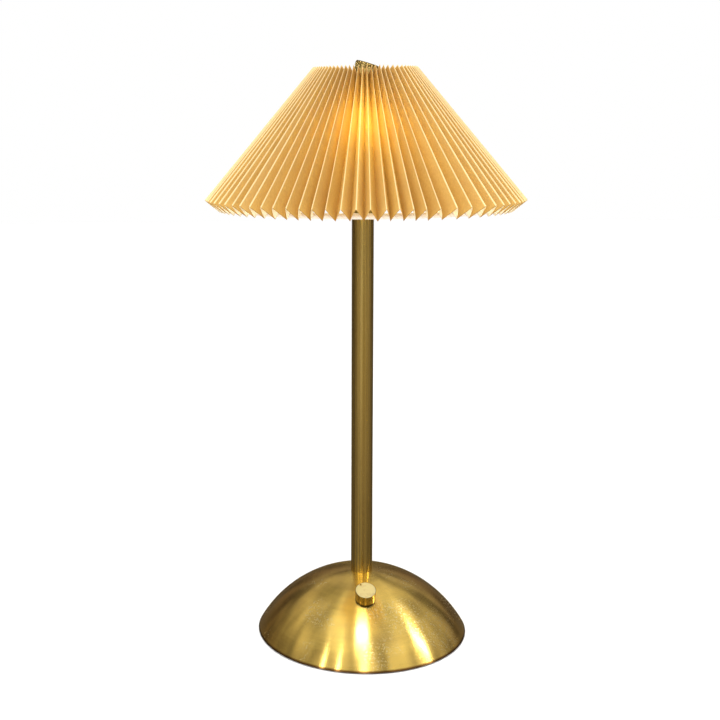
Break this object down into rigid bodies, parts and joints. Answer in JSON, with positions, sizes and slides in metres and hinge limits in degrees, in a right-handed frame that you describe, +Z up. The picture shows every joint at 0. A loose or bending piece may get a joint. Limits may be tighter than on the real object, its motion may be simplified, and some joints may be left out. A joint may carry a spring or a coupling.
{
  "type": "table lamp with shade",
  "caption": "Table lamp with a spun brass dome base, a dimmer knob, a slim brass post and a tilting head whose lamp hangs inside a pleated paper shade.",
  "frame": {"origin": "centre of the felt's lower face, on the post's axis, on the surface that the lamp stands on", "axes": "+Z up along the post; -Y towards the user, the side that the dimmer knob is on; +X to the user's right"},
  "size_m": [0.2677, 0.2678, 0.5028],
  "materials": {
    "brass_brushed": "brushed and lacquered",
    "brass_polished": "polished",
    "steel_zinc": "zinc plated",
    "iron": "as cast, black",
    "felt": "pressed felt",
    "rubber_black": "moulded",
    "plastic_black": "moulded",
    "plastic_white": "moulded",
    "ceramic_white": "glazed",
    "wire_sleeve": "extruded insulation",
    "fibre": "pressed fibre",
    "lamp_glass": "frosted",
    "lamp_emitter": "phosphor coated",
    "shade_paper": "pleated, translucent",
    "shade_wire": "white coated",
    "shade_tape": "taped"
  },
  "bodies": {
    "base": {"base_dome": "brass_brushed", "base_weight": "iron", "base_plate": "steel_zinc", "felt_pad": "felt", "base_screws": "steel_zinc", "threaded_rod": "steel_zinc", "rod_nut": "steel_zinc", "rod_washer": "steel_zinc", "cable_grommet": "rubber_black", "terminal_block": "plastic_white", "terminal_screws": "steel_zinc", "dimmer_body": "plastic_black", "dimmer_bush": "steel_zinc", "dimmer_nut": "steel_zinc", "post_tube": "brass_brushed", "post_bottom_plug": "brass_polished", "post_top_plug": "brass_polished", "post_wires": "wire_sleeve", "dimmer_wires": "wire_sleeve"},
    "head": {"swivel_cap": "brass_polished", "friction_washers": "fibre", "pivot_tube": "brass_polished", "pivot_nut": "brass_polished", "pivot_collar": "brass_polished", "arm_elbow": "brass_polished", "arm_nipple": "brass_polished", "nipple_nut": "steel_zinc", "lampholder_cup": "brass_brushed", "lampholder_body": "ceramic_white", "lampholder_contacts": "steel_zinc", "lamp_base": "ceramic_white", "lamp_pins": "steel_zinc", "lamp_glass": "lamp_glass", "lamp_led": "lamp_emitter", "shade_spider": "shade_wire", "bottom_ring": "shade_tape", "pleated_shade": "shade_paper", "head_wires": "wire_sleeve"},
    "knob": {"dimmer_shaft": "steel_zinc", "dimmer_knob": "brass_polished", "knob_screw": "steel_zinc"}
  },
  "joints": [
    {"name": "head_tilt", "type": "hinge", "parent": "base", "child": "head", "pos_m": [0, 0, 0.488], "axis": [0, 1, 0], "range_deg": [-35, 35]},
    {"name": "dimmer_turn", "type": "hinge", "parent": "base", "child": "knob", "pos_m": [0, -0.0445, 0.04464], "axis": [0, -0.4147, 0.91], "range_deg": [-167.5, 102.5]}
  ]
}
